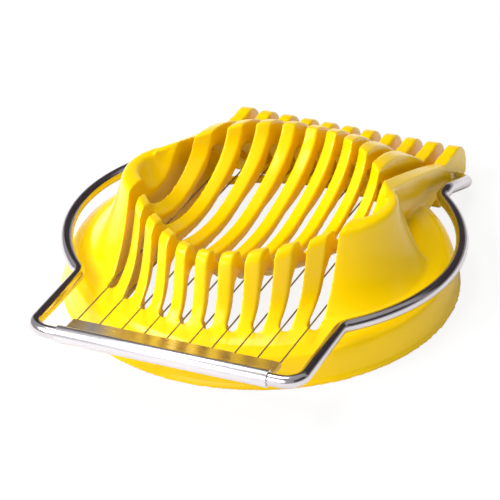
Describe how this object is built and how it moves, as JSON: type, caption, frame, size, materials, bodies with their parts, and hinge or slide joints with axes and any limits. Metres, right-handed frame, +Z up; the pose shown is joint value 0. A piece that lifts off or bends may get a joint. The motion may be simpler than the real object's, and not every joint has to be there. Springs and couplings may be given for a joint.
{
  "type": "egg slicer",
  "caption": "Round moulded egg slicer with a slotted oval cradle and a hinged steel wire frame that cuts down through the slots.",
  "frame": {"origin": "on the table, at the bottom centre of the object's bounding box", "axes": "+Z up, -Y towards the front bar that is lifted, +Y towards the hinge, X along the hinge bar"},
  "size_m": [0.0962, 0.1248, 0.0279],
  "materials": {
    "yellow_plastic": "glossy moulded plastic",
    "polished_steel": "polished stainless steel rod",
    "brushed_steel": "satin stainless steel sheet",
    "wire_steel": "drawn stainless steel wire"
  },
  "bodies": {
    "slicer_base": {"base": "yellow_plastic"},
    "cutting_frame": {"frame_rod": "polished_steel", "front_wire_clamp": "brushed_steel", "wire_01": "wire_steel", "wire_02": "wire_steel", "wire_03": "wire_steel", "wire_04": "wire_steel", "wire_05": "wire_steel", "wire_06": "wire_steel", "wire_07": "wire_steel", "wire_08": "wire_steel", "wire_09": "wire_steel", "wire_10": "wire_steel"}
  },
  "joints": [
    {"name": "frame_hinge", "type": "hinge", "parent": "slicer_base", "child": "cutting_frame", "pos_m": [0, 0.05453, 0.003], "axis": [-1, 0, 0], "range_deg": [0, 105]}
  ]
}
